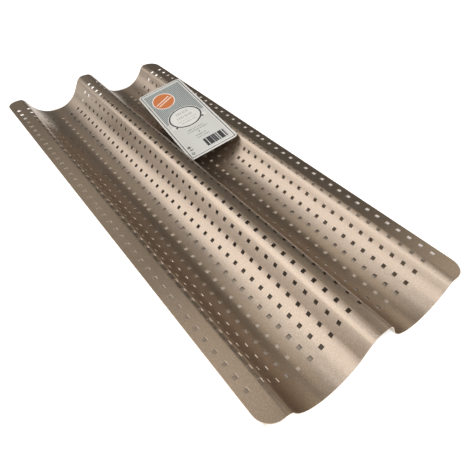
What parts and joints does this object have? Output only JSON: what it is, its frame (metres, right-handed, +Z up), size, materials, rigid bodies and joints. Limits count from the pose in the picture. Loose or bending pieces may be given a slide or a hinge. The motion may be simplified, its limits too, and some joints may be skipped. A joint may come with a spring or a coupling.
{
  "type": "baguette tray",
  "caption": "Perforated double baguette tray: one pressed steel sheet with two round channels and side flanges, with a product card leaning in one channel.",
  "frame": {"origin": "centre of the footprint, on the surface that the two channel bottoms rest on", "axes": "+Z up, +Y along the channels towards the end that the product card lies nearer to, +X across the channels towards the channel that holds the card"},
  "size_m": [0.162, 0.385, 0.0275],
  "materials": {
    "coated_sheet": "satin metallic non-stick coating, champagne bronze",
    "printed_card": "printed, smooth",
    "sticker_paper": "printed, smooth"
  },
  "bodies": {
    "tray": {"tray_sheet": "coated_sheet"},
    "card": {"product_card": "printed_card", "oval_sticker": "sticker_paper"}
  },
  "joints": [
    {"name": "card_lift", "type": "slide", "parent": "tray", "child": "card", "axis": [0, 0, 1], "range_m": [0, 0.06]}
  ]
}
